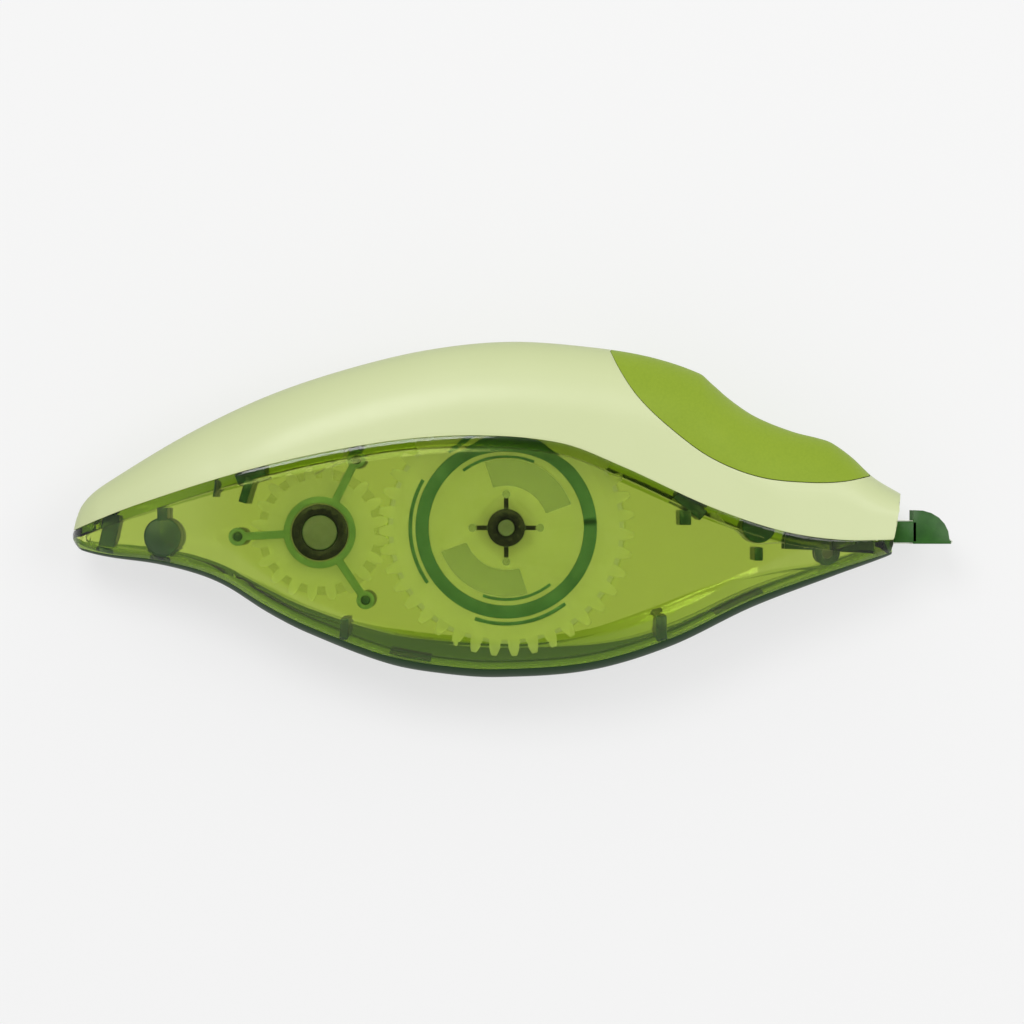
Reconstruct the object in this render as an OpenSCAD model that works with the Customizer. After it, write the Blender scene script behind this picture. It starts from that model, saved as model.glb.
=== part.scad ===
// Side-dispensing correction tape roller, lying on its left side.
// +X runs from the tail to the applicator tip, +Y from the belly to the spine, +Z is the thickness.

/* [Body] */
// Thickness of the body between its flat sides
body_t = 18; // [17.5:0.5:20]
// Wall thickness of the two clear shells
shell_wall = 1.2; // [1:0.1:1.4]
// Wall thickness of the spine cover
cover_wall = 1.9; // [1.7:0.1:2]
// Thickness of the soft grip pad
pad_t = 1.1; // [0.9:0.1:1.2]
// Gap between parts that are clipped together
seam = 0.1; // [0.05:0.05:0.15]

/* [Tape] */
// Width of the correction tape
tape_w = 5; // [4.2:0.1:5]
// Thickness drawn for a single run of tape
tape_t = 0.12; // [0.1:0.01:0.15]
// Outer radius of the tape wound on the supply core
tape_roll_r = 14.3; // [12:0.1:14.4]
// Outer radius of the empty liner wound on the take-up core
liner_roll_r = 6.3; // [5:0.1:7]

/* [Gears] */
// Module of the gear pair
gear_module = 0.765; // [0.755:0.005:0.77]
// Teeth on the drive gear
drive_teeth = 39; // [39]
// Teeth on the take-up gear
take_up_teeth = 20; // [20]
// Play between meshing teeth
backlash = 0.14; // [0.1:0.01:0.2]
// Thickness of both gears
gear_t = 1.5; // [1.2:0.1:1.5]
// Direction from the supply axis to the take-up axis
take_up_bearing = 181.4; // [180:0.2:183]

/* [Applicator tip] */
// Height of the stem's axis above the body's centre line
tip_y = -2.7; // [-2.8:0.05:-2.6]
// Radius of the stem where it turns in the holder
journal_r = 0.7; // [0.6:0.05:0.75]
// Radius of the tape guide roller
guide_r = 1.4; // [1.3:0.1:1.4]
// Running clearance round a shaft
running = 0.06; // [0.03:0.01:0.09]

/* [Hidden] */
$fn = 64;

mid_z = body_t / 2;
far = 80;

// Layers through the thickness
tape_z = mid_z - tape_w / 2;
flange_t = 0.8;
flange_z = tape_z - 0.3 - flange_t;
core_z = flange_z + flange_t + 0.05;
core_top = mid_z + tape_w / 2 + 0.2;
gear_z = core_top + 0.3;
bridge_z = gear_z + gear_t + 0.3;
bridge_t = 0.8;
boss_top = flange_z - 0.2;
under_cover = cover_wall + seam;

// Axes in the side view
supply = [-0.7, -2.25];
drive_pitch = gear_module * drive_teeth / 2;
take_up_pitch = gear_module * take_up_teeth / 2;
take_up = supply + (drive_pitch + take_up_pitch) * [cos(take_up_bearing), sin(take_up_bearing)];
tail_post = [-42.5, -3.25];
nose_post = [30, -2.07];
nose_post_r = 2;
guide_axis = [38.2, -5.25];
tape_bar_top = [19.9, 1.9];
tape_bar_low = [23.1, -0.8];
tape_bar_r = 0.7;
tail_post_r = 2.24;
snap_peg_r = 0.8;
snap_peg_h = 2;
trim = 0.5;

// Three shell posts round the take-up reel, each on an arm of the bridge
arm_reach = 9.9;
arm_angles = [183, 63.5, -56];
arm_posts = [for (a = arm_angles) take_up + arm_reach * [cos(a), sin(a)]];
arm_post_r = 1.1;
peg_r = 0.55;

// Reel hubs
supply_post_r = 1;
bush_r = 2.27;
core_r = 11;
core_bore_r = 9.4;
take_up_post_r = 2.15;
take_up_bush_r = 3.4;
take_up_core_r = 4.6;

// Side outline: height of the spine, belly and cover edge along the body
spine = [[-53.6, -2.3], [-53, -0.6], [-51.5, 1.5], [-49, 3.4], [-39.3, 9.2], [-29.6, 13.8],
         [-19.8, 17.1], [-10, 19.4], [-0.3, 20.35], [9.5, 19.7], [16.8, 18.5], [22.8, 16.5],
         [24.2, 15.3], [26.5, 13.3], [29.5, 11.3], [33.9, 9.5], [37.4, 8.6], [38.8, 8.1],
         [41.2, 6.4], [43.9, 3.9], [47.2, 1.9]];
belly = [[-53.6, -4.3], [-52.4, -5], [-49.1, -5.8], [-43, -6.65], [-38, -7.9], [-34.5, -9.4],
         [-29.6, -12.5], [-24.7, -15], [-15, -18.7], [-8, -19.95], [-1.5, -20.35], [9.5, -19.5],
         [19.2, -16.6], [29, -11.9], [38.7, -8.2], [45.3, -5.8], [47.2, -4.9]];
cover_edge = [[-54, -2.8], [-45.5, 0.5], [-30.8, 5], [-16.2, 8], [-5, 8.9], [5.8, 8],
              [13.2, 5.2], [23.9, 0.3], [32.5, -2.6], [40, -3.7], [48, -3.6]];
pad_edge = [[11.1, 21], [12.9, 17], [15.2, 13.5], [19, 9.8], [23.9, 6.2], [29.6, 3.9],
            [35.4, 3.2], [40, 3.3], [44.3, 4.2]];

// Half thickness along the body, seen from above
half_widths = [[-53.6, 2.2], [-50, 4.8], [-42, 7.2], [-34, 8.5], [-26, 9], [20, 9], [30, 8.5],
               [40, 7.4], [47.2, 6.6]];
full_half_width = 9;

// Slope of a list of points at point i
function slope(p, i) =
    let (a = p[max(i - 1, 0)], b = p[min(i + 1, len(p) - 1)])
    (b.y - a.y) / (b.x - a.x);

// Index of the stretch of the list that holds x
function stretch(p, x, i = 0) = i >= len(p) - 2 || x < p[i + 1].x ? i : stretch(p, x, i + 1);

// Height at x of the smooth curve through a list of points
function curve(p, x) =
    let (i = stretch(p, x), w = p[i + 1].x - p[i].x, t = (x - p[i].x) / w)
    p[i].y * (1 + 2 * t) * (1 - t) * (1 - t) + slope(p, i) * w * t * (1 - t) * (1 - t)
    + p[i + 1].y * t * t * (3 - 2 * t) + slope(p, i + 1) * w * t * t * (t - 1);

// Points along a curve from x1 to x2, moved up by rise
function curve_points(p, x1, x2, steps, rise = 0) =
    [for (k = [0:steps]) let (x = x1 + (x2 - x1) * k / steps) [x, curve(p, x) + rise]];

// The body's form, a loft of rounded sections along X, moved inwards by inset
tail_x = -53.6;
nose_x = 47.2;
tail_steps = [0, 0.12, 0.4, 0.9, 1.6, 2.6];

// The outside is drawn finer than the hidden inner forms
function form_steps(inset) = inset == 0 ? 36 : 24;
function corner_steps(inset) = inset == 0 ? 4 : 2;

function form_stations(inset) =
    let (first = tail_x + 1.4 * inset, start = first + 4, steps = form_steps(inset))
    concat([for (s = tail_steps) first + s],
           [for (k = [0:steps]) start + (nose_x - start) * k / steps]);

function form_corner(y, z, ry, rz, a1, steps) =
    [for (k = [0:steps]) let (a = a1 + 90 * k / steps) [y + ry * sin(a), z + rz * cos(a)]];

// The forms under the cover keep their floor just above the lower wall
function form_section(x, inset) =
    let (top = curve(spine, x) - inset,
         low = curve(belly, x) + min(inset, shell_wall + 0.15),
         half = min(curve(half_widths, x), full_half_width) * body_t / (2 * full_half_width) - inset,
         tall = top - low,
         top_y = max(min(8.5, 0.42 * tall + 0.4 * inset) - inset, 0.1 * tall),
         low_y = max(min(5, 0.28 * tall + 0.4 * inset) - inset, 0.1 * tall),
         top_z = max(0.62 * (half + inset) - inset, 0.3),
         low_z = max(0.42 * (half + inset) - inset, 0.3),
         steps = corner_steps(inset))
    concat(form_corner(top - top_y, mid_z + half - top_z, top_y, top_z, 0, steps),
           form_corner(top - top_y, mid_z - half + top_z, top_y, top_z, 90, steps),
           form_corner(low + low_y, mid_z - half + low_z, low_y, low_z, 180, steps),
           form_corner(low + low_y, mid_z + half - low_z, low_y, low_z, 270, steps));

module body_form(inset = 0) {
    stations = form_stations(inset);
    n = 4 * (corner_steps(inset) + 1);
    last = len(stations) - 1;
    points = [for (x = stations) for (p = form_section(x, inset)) [x, p.x, p.y]];
    sides = [for (i = [0:last - 1]) for (k = [0:n - 1])
        let (a = i * n + k, b = i * n + (k + 1) % n)
        each [[a, b, b + n], [a, b + n, a + n]]];
    tail_cap = [for (k = [n - 1:-1:0]) k];
    nose_cap = [for (k = [0:n - 1]) last * n + k];
    polyhedron(points, concat(sides, [tail_cap, nose_cap]), convexity = 6);
}

// Everything above a curve of the side view
module above(p, x1, x2, steps, rise = 0) {
    translate([0, 0, -1])
        linear_extrude(body_t + 2)
            polygon(concat(curve_points(p, x1, x2, steps, rise), [[x2, far], [x1, far]]));
}

// What the slanted nose cuts away, and the mouth that the tip comes out of
module nose_cut(mouth_low = -4.5, mouth_high = -0.9) {
    mouth_half = 3.6;
    translate([0, 0, -1])
        linear_extrude(body_t + 2)
            polygon([[47.15, 2], [46.2, -3.6], [45.7, -5.1], [45.2, -8], [50, -8], [50, 2]]);
    translate([42, mouth_low, mid_z - mouth_half])
        cube([8, mouth_high - mouth_low, 2 * mouth_half]);
}

// The shells' form, moved inwards by skin: full size below the cover's edge, sunk above it
module shell_solid(skin = 0) {
    difference() {
        body_form(skin);
        above(cover_edge, -54, 48, 60, -seam - skin);
    }
    body_form(under_cover + skin);
}

module post(at, r, z1, z2) {
    translate([at.x, at.y, z1])
        cylinder(r = r, h = z2 - z1);
}

// Straight rib from a to b in the side view, between two heights
module rib(a, b, w, z1, z2) {
    run = b - a;
    translate([a.x, a.y, z1])
        rotate([0, 0, atan2(run.y, run.x)])
            translate([0, -w / 2, 0])
                cube([norm(run), w, z2 - z1]);
}

// Posts, ribs and tabs moulded inside the shells, each rib from one point to another
module shell_inside() {
    ribs = [[tape_bar_top, tape_bar_low, 2 * tape_bar_r], [[-33.2, 3.5], [-29.8, 4.7], 1.1],
            [[-32.5, 0.8], [-31.6, 3.8], 1], [[20.9, 0.6], [20.9, -1.9], 1.4],
            [[-48.3, -1], [-49.3, -5], 1.4], [[-15.2, -18], [-9.7, -18.9], 1.3],
            [[24.8, -13.2], [30.6, -10.4], 1.1], [[18, -12.8], [18, -15.6], 1.3],
            [[-20.2, -13.2], [-20.2, -15.4], 1], [[-42.4, -5.2], [-42.4, -6.3], 0.9],
            [[-42.5, -1.4], [-42.5, 0.2], 1.2], [[30, -4.6], [30, -6.2], 1]];
    for (r = ribs)
        rib(r[0], r[1], r[2], 0, body_t);
    post(nose_post, nose_post_r, 0, body_t);
    post(tail_post, tail_post_r, 0, body_t);
}

// Wall, posts and ribs of one shell. The other half, which starts at cut_z, is cut away.
module shell_half(cut_z) {
    difference() {
        union() {
            difference() {
                shell_solid(0);
                shell_solid(shell_wall);
                nose_cut();
            }
            intersection() {
                shell_inside();
                shell_solid(trim);
            }
        }
        translate([-far, -far, cut_z])
            cube([2 * far, 2 * far, far]);
    }
}

module left_shell() {
    foot_z = 0.8;
    color([0.45, 0.66, 0.14, 0.55]) {
        shell_half(mid_z);
        post(supply, 2.6, foot_z, boss_top);
        post(supply, supply_post_r, foot_z, bridge_z + 0.6);
        post(take_up, 3.2, foot_z, boss_top);
        post(take_up, take_up_post_r, foot_z, bridge_z + bridge_t);
        for (p = arm_posts) {
            post(p, arm_post_r, foot_z, bridge_z - 0.1);
            post(p, peg_r, foot_z, bridge_z + bridge_t);
        }
        // pegs that snap into the right shell
        for (p = [nose_post, tail_post])
            post(p, snap_peg_r, mid_z - 1, mid_z + snap_peg_h);
    }
}

module right_shell() {
    boss_z = bridge_z + bridge_t + 0.15;
    color([0.45, 0.66, 0.14, 0.55])
        difference() {
            union() {
                shell_half(mid_z - far);
                post(supply, 2.2, boss_z, body_t - 0.8);
                post(take_up, 3.2, boss_z, body_t - 0.8);
            }
            for (p = [nose_post, tail_post])
                post(p, snap_peg_r + 0.05, mid_z - 1, mid_z + snap_peg_h + 0.4);
        }
}

module top_cover() {
    color([0.84, 0.88, 0.67])
        difference() {
            intersection() {
                body_form(0);
                above(cover_edge, -54, 48, 60);
            }
            body_form(cover_wall);
            // shallow bed for the grip pad
            difference() {
                above(pad_edge, 11.1, 44.3, 24);
                body_form(pad_t + seam);
            }
            nose_cut();
        }
}

module grip_pad() {
    color([0.59, 0.70, 0.20])
        difference() {
            intersection() {
                body_form(0);
                above(pad_edge, 11.3, 44.1, 24, 0.12);
            }
            body_form(pad_t);
        }
}

// One tooth flank's half angle at radius r
function involute(r, base) = let (a = acos(min(base / r, 1))) tan(a) * 180 / PI - a;

function tooth_points(teeth, tip, root) =
    let (pitch = gear_module * teeth / 2,
         base = pitch * cos(20),
         steps = 4,
         half = 90 / teeth - backlash / (4 * pitch) * 180 / PI + involute(pitch, base),
         rs = [for (k = [0:steps]) root + (tip - root) * k / steps],
         flank = [for (r = rs) [r, half - involute(max(r, base), base)]])
    [for (i = [0:teeth - 1])
        let (a = 360 * i / teeth)
        each concat([for (f = flank) f.x * [cos(a - f.y), sin(a - f.y)]],
                    [for (k = [steps:-1:0]) flank[k].x * [cos(a + flank[k].y), sin(a + flank[k].y)]])];

module gear_blank(teeth, tip, root) {
    linear_extrude(gear_t)
        polygon(tooth_points(teeth, tip, root));
}

// Part of a flat ring between two angles
module ring_sector(r1, r2, a1, a2, h) {
    rotate([0, 0, a1])
        rotate_extrude(angle = a2 - a1)
            translate([r1, 0])
                square([r2 - r1, h]);
}

module tube(at, r1, r2, z, h) {
    translate([at.x, at.y, z])
        difference() {
            cylinder(r = r2, h = h);
            translate([0, 0, -1])
                cylinder(r = r1, h = h + 2);
        }
}

module drive_gear() {
    slot_w = 0.55;
    slot_reach = 4.1;
    color([0.62, 0.74, 0.30, 0.8])
        translate([supply.x, supply.y, gear_z])
            difference() {
                rotate([0, 0, take_up_bearing])
                    gear_blank(drive_teeth, drive_pitch + 0.6, drive_pitch - 1.2);
                translate([0, 0, -1])
                    cylinder(r = bush_r + 0.03, h = gear_t + 2);
                // spring slots of the snap hub
                for (a = [0:90:270])
                    rotate([0, 0, a]) {
                        translate([0, -slot_w / 2, -1])
                            cube([slot_reach, slot_w, gear_t + 2]);
                        translate([slot_reach, 0, -1])
                            cylinder(r = 0.5, h = gear_t + 2);
                    }
                // two kidney windows
                for (a = [20, 200])
                    translate([0, 0, -1])
                        ring_sector(5.1, 8.4, a, a + 88, gear_t + 2);
            }
}

module drive_bush() {
    color([0.08, 0.10, 0.09])
        tube(supply, supply_post_r + running, bush_r, boss_top + 0.1, bridge_z + 0.3 - boss_top);
}

module clutch_washer() {
    color([0.16, 0.16, 0.16])
        tube(supply, bush_r + 0.13, 3.6, core_top + 0.05, 0.2);
}

module supply_core() {
    hub_r = 3.6;
    web_t = 0.9;
    color([0.20, 0.36, 0.16, 0.9]) {
        tube(supply, core_bore_r, core_r, core_z, core_top - core_z);
        tube(supply, bush_r + 0.08, core_bore_r + 0.2, core_z, web_t);
        tube(supply, bush_r + 0.08, hub_r, core_z, core_top - core_z);
    }
}

module supply_flange() {
    color([0.50, 0.66, 0.22, 0.7])
        tube(supply, bush_r + 0.08, tape_roll_r + 0.3, flange_z, flange_t);
}

module tape_roll() {
    color([0.93, 0.94, 0.90])
        tube(supply, core_r + 0.02, tape_roll_r, tape_z, tape_w);
}

module take_up_gear() {
    color([0.62, 0.74, 0.30, 0.8])
        translate([take_up.x, take_up.y, gear_z])
            difference() {
                rotate([0, 0, take_up_bearing + 180 + 180 / take_up_teeth])
                    gear_blank(take_up_teeth, take_up_pitch + 0.7, take_up_pitch - 1.1);
                translate([0, 0, -1])
                    cylinder(r = take_up_bush_r + 0.03, h = gear_t + 2);
            }
}

module take_up_bush() {
    color([0.08, 0.10, 0.09])
        tube(take_up, take_up_post_r + running, take_up_bush_r, boss_top + 0.1,
             bridge_z + 0.6 - boss_top);
}

module take_up_core() {
    color([0.20, 0.36, 0.16, 0.9])
        tube(take_up, take_up_bush_r + 0.03, take_up_core_r, core_z, core_top - core_z);
}

module take_up_flange() {
    color([0.50, 0.66, 0.22, 0.7])
        tube(take_up, take_up_bush_r + 0.03, 7.8, flange_z, flange_t);
}

module liner_roll() {
    color([0.86, 0.84, 0.74])
        tube(take_up, take_up_core_r + 0.02, liner_roll_r, tape_z, tape_w);
}

// Three-armed bridge that keeps the take-up reel on its post
module take_up_bridge() {
    hub_in = take_up_bush_r + 0.15;
    hub_out = hub_in + 0.8;
    arm_w = 0.95;
    color([0.30, 0.46, 0.16, 0.8])
        difference() {
            union() {
                translate([take_up.x, take_up.y, bridge_z])
                    cylinder(r = hub_out, h = bridge_t);
                for (p = arm_posts) {
                    rib(take_up, p, arm_w, bridge_z, bridge_z + bridge_t);
                    translate([p.x, p.y, bridge_z])
                        cylinder(r = arm_post_r, h = bridge_t);
                }
            }
            translate([take_up.x, take_up.y, bridge_z - 1])
                cylinder(r = hub_in, h = bridge_t + 2);
            for (p = arm_posts)
                translate([p.x, p.y, bridge_z - 1])
                    cylinder(r = peg_r + 0.03, h = bridge_t + 2);
        }
}

// Frame behind the nose that carries the guide roller and the tip's stem
module tip_holder() {
    cheek_in = tape_w / 2 + 0.2;
    cheek_t = 0.6;
    key_t = 1.1;
    color([0.13, 0.30, 0.15, 0.9])
        difference() {
            union() {
                for (z = [mid_z - cheek_in - cheek_t, mid_z + cheek_in]) {
                    translate([0, 0, z])
                        linear_extrude(cheek_t)
                            polygon([[33, -1.4], [35.5, -1.6], [37, -3], [41.9, -1.5], [43.7, -1.5],
                                     [43.7, -4.7], [41.9, -5.1], [33, -4.8]]);
                    translate([guide_axis.x, guide_axis.y, z])
                        cylinder(r = 1.55, h = cheek_t);
                }
                // keys that sit in the shells
                for (z = [mid_z - cheek_in - cheek_t - key_t, mid_z + cheek_in + cheek_t])
                    translate([33, -4.8, z])
                        cube([2.5, 1.6, key_t]);
                translate([33, -2.9, mid_z - cheek_in])
                    cube([1.6, 1.4, 2 * cheek_in]);
                translate([41.9, -3.7, mid_z - cheek_in])
                    cube([1.8, 2.2, 2 * cheek_in]);
            }
            translate([40, tip_y, mid_z])
                rotate([0, 90, 0])
                    cylinder(r = journal_r + running, h = 8);
            translate([guide_axis.x, guide_axis.y, 0])
                cylinder(r = 0.68, h = body_t);
        }
}

module guide_pin() {
    color([0.45, 0.55, 0.40])
        translate([guide_axis.x, guide_axis.y, mid_z - 3.3])
            cylinder(r = 0.65, h = 6.6);
}

module guide_roller() {
    color([0.16, 0.30, 0.16])
        tube(guide_axis, 0.65 + running, guide_r, mid_z - 2.6, 5.2);
}

// Blade between two flanges on a round stem
module applicator_tip() {
    blade_half = tape_w / 2 + 0.2;
    flange_w = 0.7;
    color([0.10, 0.28, 0.16, 0.9]) {
        translate([40.9, tip_y, mid_z])
            rotate([0, 90, 0])
                cylinder(r = 1, h = 0.8);
        translate([41.5, tip_y, mid_z])
            rotate([0, 90, 0])
                cylinder(r = journal_r, h = 4);
        translate([45, tip_y, mid_z])
            rotate([0, 90, 0])
                cylinder(r = 1.05, h = 3.5);
        translate([0, 0, mid_z - blade_half])
            linear_extrude(2 * blade_half)
                polygon([[48.2, -1.62], [49.3, -1.65], [53.2, -3.75], [53.42, -3.95], [53.35, -4.05],
                         [48.2, -4.05]]);
        for (z = [mid_z - blade_half - flange_w, mid_z + blade_half])
            translate([0, 0, z])
                linear_extrude(flange_w)
                    polygon(concat([[48.7, -4.2], [48.7, -0.1]],
                                   [for (a = [80:-16:0]) [49.2, -3.6] + [3.9 * cos(a), 3.5 * sin(a)]],
                                   [[53.3, -4.2]]));
    }
}

// A run of tape over a list of guides, each a centre and a radius. The radius is positive where
// the run passes with its left side away from the centre, and negative where it passes the other way.
function run_angle(a, b) =
    let (d = b[0] - a[0]) atan2(d.y, d.x) - asin((a[1] - b[1]) / norm(d));

function turn(a) = a > 180 ? a - 360 : a < -180 ? a + 360 : a;

function run_points(guides, side) =
    let (n = len(guides), g = [for (e = guides) [e[0], e[1] + side]],
         run = [for (i = [0:n - 2]) run_angle(g[i], g[i + 1])])
    [for (i = [0:n - 1])
        let (a_in = run[max(i - 1, 0)], a_out = run[min(i, n - 2)], bend = turn(a_out - a_in),
             steps = max(1, ceil(abs(bend) / 12)))
        for (k = [0:i == 0 || i == n - 1 ? 0 : steps])
            let (a = a_in + bend * k / steps)
            g[i][0] + g[i][1] * [-sin(a), cos(a)]];

module tape_run(guides) {
    there = run_points(guides, 0);
    back = run_points(guides, tape_t);
    translate([0, 0, tape_z])
        linear_extrude(tape_w)
            polygon(concat(there, [for (i = [len(back) - 1:-1:0]) back[i]]));
}

module feed_tape() {
    color([0.93, 0.94, 0.90])
        tape_run([[supply, tape_roll_r + 0.03], [(tape_bar_top + tape_bar_low) / 2, tape_bar_r + 0.55],
                  [nose_post, -nose_post_r - 0.2], [guide_axis, guide_r + 0.03],
                  [[45.5, -4.18], 0]]);
}

module return_liner() {
    color([0.86, 0.84, 0.74])
        tape_run([[[45.5, -1.2], 0], [supply, -tape_roll_r - 2],
                  [arm_posts[1], -arm_post_r - 0.2], [take_up, -liner_roll_r - 0.15]]);
}

module tip_tape() {
    color([0.93, 0.94, 0.90])
        tape_run([[[45.7, -4.18], 0], [[53.3, -3.95], -0.25], [[49.3, -1.55], -0.2],
                  [[45.7, -1.27], 0]]);
}

left_shell();
right_shell();
top_cover();
grip_pad();
tip_holder();
guide_pin();
guide_roller();
take_up_bridge();
drive_gear();
drive_bush();
clutch_washer();
supply_core();
supply_flange();
tape_roll();
take_up_gear();
take_up_bush();
take_up_core();
take_up_flange();
liner_roll();
applicator_tip();
tip_tape();
feed_tape();
return_liner();
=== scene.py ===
import math
import bpy
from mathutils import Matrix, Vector


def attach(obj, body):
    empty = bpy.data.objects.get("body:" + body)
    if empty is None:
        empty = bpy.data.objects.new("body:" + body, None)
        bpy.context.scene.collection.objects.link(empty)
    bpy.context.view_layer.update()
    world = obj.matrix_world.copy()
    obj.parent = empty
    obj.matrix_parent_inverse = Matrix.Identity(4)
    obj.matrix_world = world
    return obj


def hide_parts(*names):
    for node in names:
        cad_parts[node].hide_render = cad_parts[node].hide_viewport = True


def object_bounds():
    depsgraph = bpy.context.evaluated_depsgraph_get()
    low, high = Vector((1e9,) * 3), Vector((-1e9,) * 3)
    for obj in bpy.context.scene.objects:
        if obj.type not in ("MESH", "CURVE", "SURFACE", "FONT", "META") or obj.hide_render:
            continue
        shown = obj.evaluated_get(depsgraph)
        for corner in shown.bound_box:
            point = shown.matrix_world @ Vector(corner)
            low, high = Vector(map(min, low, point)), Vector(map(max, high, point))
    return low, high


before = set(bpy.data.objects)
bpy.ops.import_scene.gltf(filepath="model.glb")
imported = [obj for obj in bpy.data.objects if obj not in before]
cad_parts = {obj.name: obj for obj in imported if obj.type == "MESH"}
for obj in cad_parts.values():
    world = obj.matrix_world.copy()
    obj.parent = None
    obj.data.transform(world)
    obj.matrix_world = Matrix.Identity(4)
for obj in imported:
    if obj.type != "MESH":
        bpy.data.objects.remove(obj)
cadLow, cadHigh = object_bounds()
print("frame loaded, body from", cadLow, "to", cadHigh)

mm = 0.001
midZ = (cadLow.z + cadHigh.z) / 2


# small helpers for modelling by hand
def pickNone():
    if bpy.context.object and bpy.context.object.mode != "OBJECT":
        bpy.ops.object.mode_set(mode="OBJECT")
    bpy.ops.object.select_all(action="DESELECT")


def pick(piece):
    pickNone()
    piece.select_set(True)
    bpy.context.view_layer.objects.active = piece


def nameIt(name):
    piece = bpy.context.object
    piece.name = name
    piece.data.name = name
    return piece


def modify(piece, kind, **settings):
    pick(piece)
    modifier = piece.modifiers.new(kind.lower(), kind)
    for key, value in settings.items():
        setattr(modifier, key, value)
    bpy.ops.object.modifier_apply(modifier=modifier.name)


mergeGap = 0.004  # corners closer than this become one


def tidyMesh(piece):
    pick(piece)
    bpy.ops.object.mode_set(mode="EDIT")
    bpy.ops.mesh.select_all(action="SELECT")
    bpy.ops.mesh.remove_doubles(threshold=mergeGap * mm)
    bpy.ops.mesh.normals_make_consistent(inside=False)
    bpy.ops.object.mode_set(mode="OBJECT")


def smooth(piece, angle):
    pick(piece)
    bpy.ops.object.shade_smooth_by_angle(angle=math.radians(angle))


def joinAll(pieces, name):
    pick(pieces[0])
    for piece in pieces:
        piece.select_set(True)
    bpy.ops.object.join()
    return nameIt(name)


def settle(piece):
    pick(piece)
    bpy.ops.object.transform_apply(location=True, rotation=True, scale=True)


def softenEdges(piece, width, segments=2, angle=40):
    modify(piece, "BEVEL", width=width * mm, segments=segments, limit_method="ANGLE",
           angle_limit=math.radians(angle))


# the body's form in millimetres: side outlines, and half the thickness along the length
bodyForm = {
    "spine": [(-53.6, -2.3), (-53, -0.6), (-51.5, 1.5), (-49, 3.4), (-39.3, 9.2), (-29.6, 13.8),
              (-19.8, 17.1), (-10, 19.4), (-0.3, 20.35), (9.5, 19.7), (16.8, 18.5), (22.8, 16.5),
              (24.2, 15.3), (26.5, 13.3), (29.5, 11.3), (33.9, 9.5), (37.4, 8.6), (38.8, 8.1),
              (41.2, 6.4), (43.9, 3.9), (47.2, 1.9)],
    "belly": [(-53.6, -4.3), (-52.4, -5), (-49.1, -5.8), (-43, -6.65), (-38, -7.9), (-34.5, -9.4),
              (-29.6, -12.5), (-24.7, -15), (-15, -18.7), (-8, -19.95), (-1.5, -20.35), (9.5, -19.5),
              (19.2, -16.6), (29, -11.9), (38.7, -8.2), (45.3, -5.8), (47.2, -4.9)],
    "coverEdge": [(-54, -2.8), (-45.5, 0.5), (-30.8, 5), (-16.2, 8), (-5, 8.9), (5.8, 8),
                  (13.2, 5.2), (23.9, 0.3), (32.5, -2.6), (40, -3.7), (48, -3.6)],
    "padEdge": [(11.1, 21), (12.9, 17), (15.2, 13.5), (19, 9.8), (23.9, 6.2), (29.6, 3.9),
                (35.4, 3.2), (40, 3.3), (44.3, 4.2)],
    "halfWidth": [(-53.6, 2.2), (-50, 4.8), (-42, 7.2), (-34, 8.5), (-26, 9), (20, 9), (30, 8.5),
                  (40, 7.4), (47.2, 6.6)],
    "fullHalfWidth": 9,
    "topCorner": {"most": 8.5, "ofHeight": 0.42, "ofHalf": 0.62},
    "lowCorner": {"most": 5, "ofHeight": 0.28, "ofHalf": 0.42},
    "cornerKept": 0.4,    # share of the inset that a low corner keeps
    "cornerSteps": 14,
    "skin": 0.02,         # keeps the finished surface just inside the frame
    "tail": -53.6,
    "nose": 47.2,
    "tailRound": 1.2,     # length over which the tail closes to a point
    "tailHeight": -3.3,
    "noseTop": (47.12, 2),
    "noseLow": (46.17, -3.6),
}


def heightAt(points, x):
    i = 0
    while i < len(points) - 2 and points[i + 1][0] <= x:
        i += 1

    def slope(k):
        a, b = points[max(k - 1, 0)], points[min(k + 1, len(points) - 1)]
        return (b[1] - a[1]) / (b[0] - a[0])

    (x0, y0), (x1, y1) = points[i], points[i + 1]
    w = x1 - x0
    t = (x - x0) / w
    return (y0 * (1 + 2 * t) * (1 - t) ** 2 + slope(i) * w * t * (1 - t) ** 2
            + y1 * t * t * (3 - 2 * t) + slope(i + 1) * w * t * t * (t - 1))


# height and depth of a rounded corner of the section
def cornerSize(corner, tall, half, inset):
    high = min(corner["most"], corner["ofHeight"] * tall + bodyForm["cornerKept"] * inset) - inset
    deep = corner["ofHalf"] * (half + inset) - inset
    return max(high, 0.1 * tall), max(deep, 0.3)


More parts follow.
